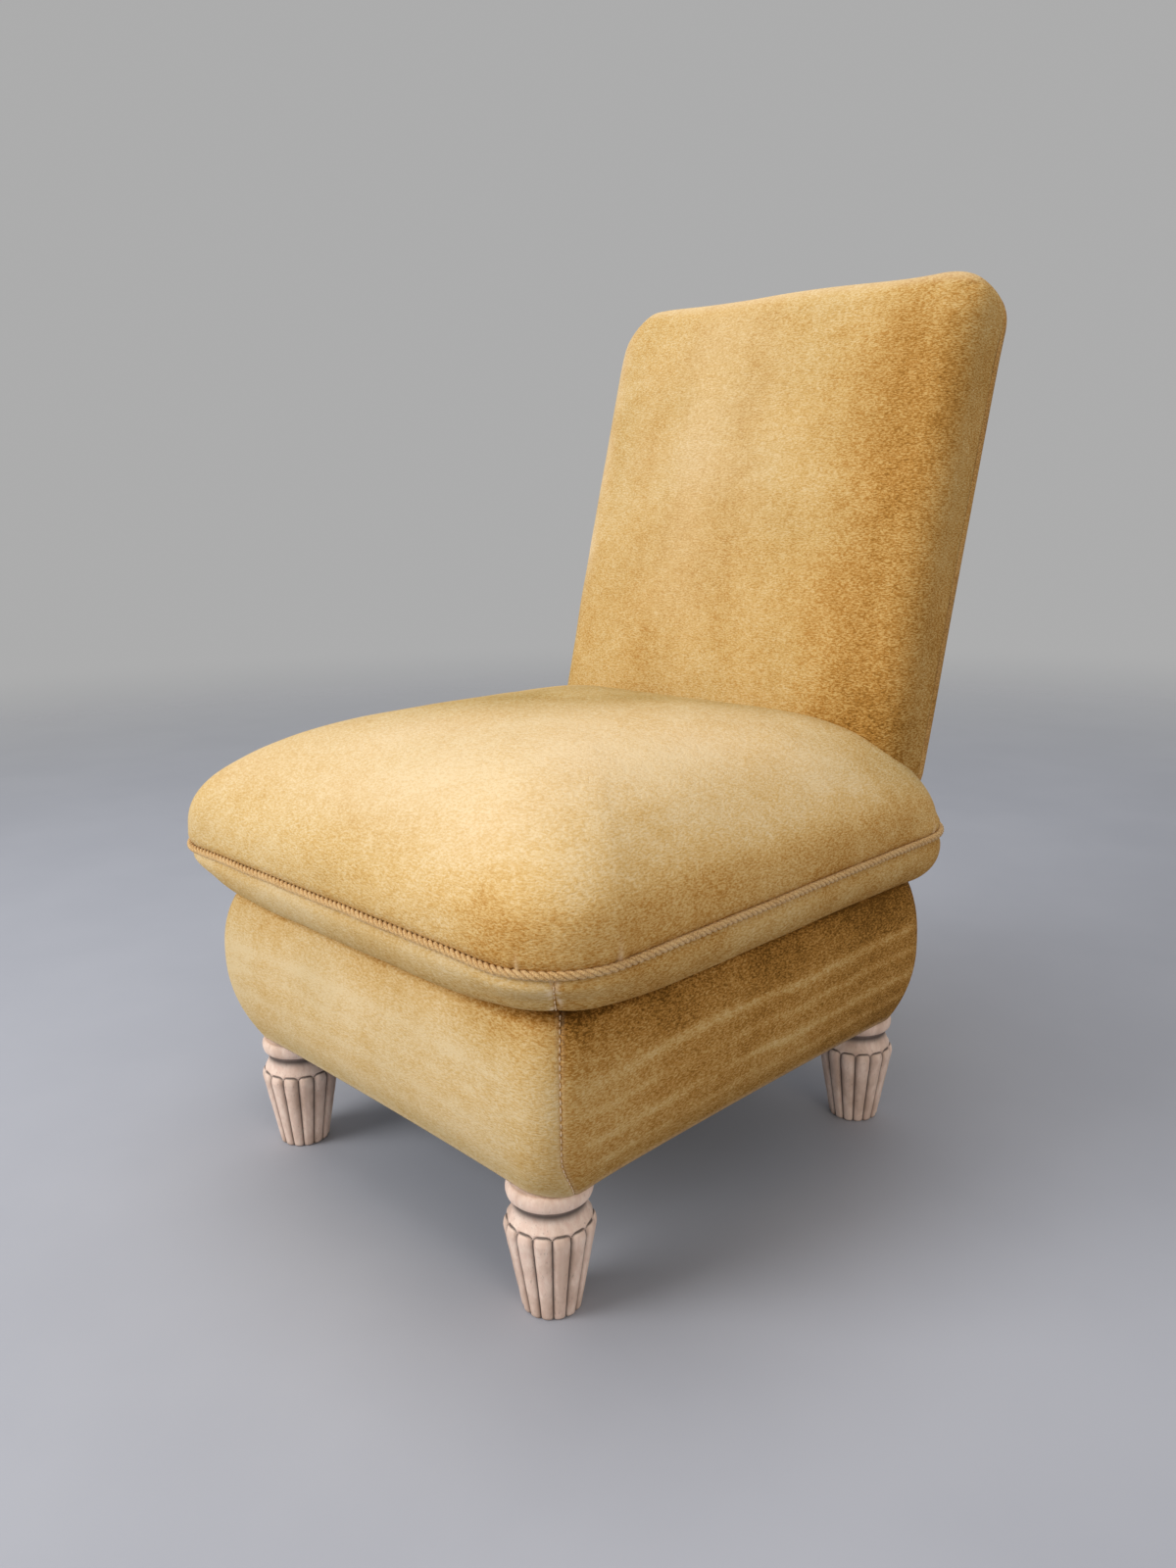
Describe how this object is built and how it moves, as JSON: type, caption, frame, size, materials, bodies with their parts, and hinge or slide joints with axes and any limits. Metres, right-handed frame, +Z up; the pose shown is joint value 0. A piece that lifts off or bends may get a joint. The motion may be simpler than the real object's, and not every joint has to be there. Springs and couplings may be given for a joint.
{
  "type": "cocktail chair",
  "caption": "Armless upholstered cocktail chair with a crowned, corded seat, a raked padded back, a bulging skirted base and short turned, reeded feet.",
  "frame": {"origin": "on the floor, under the middle of the chair's box", "axes": "+Z up, -Y towards the front of the seat, +X towards the right side as seen from the front"},
  "size_m": [0.5468, 0.655, 0.8195],
  "materials": {
    "velvet": "mustard gold cut-pile velvet, worn along edges",
    "cord": "twisted golden brown furnishing cord",
    "limed_wood": "limed pale pinkish wood with dark wax in the grooves",
    "frame_wood": "plain sawn beech, unfinished",
    "stuffing": "hair stuffing and cotton wadding",
    "webbing": "woven jute",
    "dust_cloth": "thin black lining cloth",
    "steel": "plain steel"
  },
  "bodies": {
    "root": {"back_front_cover": "velvet", "back_hessian": "webbing", "back_lower_rail": "frame_wood", "back_outer_cover": "velvet", "back_padding": "stuffing", "back_post_bolts": "steel", "back_post_nuts": "steel", "back_rear_wadding": "stuffing", "back_top_rail": "frame_wood", "back_webbing_cross": "webbing", "back_webbing_upright": "webbing", "base_front_cover": "velvet", "base_front_padding": "stuffing", "base_left_cover": "velvet", "base_left_padding": "stuffing", "base_rear_cover": "velvet", "base_rear_padding": "stuffing", "base_right_cover": "velvet", "base_right_padding": "stuffing", "dust_cover": "dust_cloth", "front_left_corner_block": "frame_wood", "front_left_foot": "limed_wood", "front_right_corner_block": "frame_wood", "front_right_foot": "limed_wood", "front_seat_rail": "frame_wood", "left_back_post": "frame_wood", "left_seat_rail": "frame_wood", "rear_left_corner_block": "frame_wood", "rear_left_foot": "limed_wood", "rear_right_corner_block": "frame_wood", "rear_right_foot": "limed_wood", "rear_seat_rail": "frame_wood", "right_back_post": "frame_wood", "right_seat_rail": "frame_wood", "seat_cord": "cord", "seat_front_border": "velvet", "seat_hessian": "webbing", "seat_left_border": "velvet", "seat_rear_border": "velvet", "seat_right_border": "velvet", "seat_springs": "steel", "seat_stuffing": "stuffing", "seat_top_cover": "velvet", "seat_webbing_crosswise": "webbing", "seat_webbing_lengthwise": "webbing"}
  },
  "joints": []
}
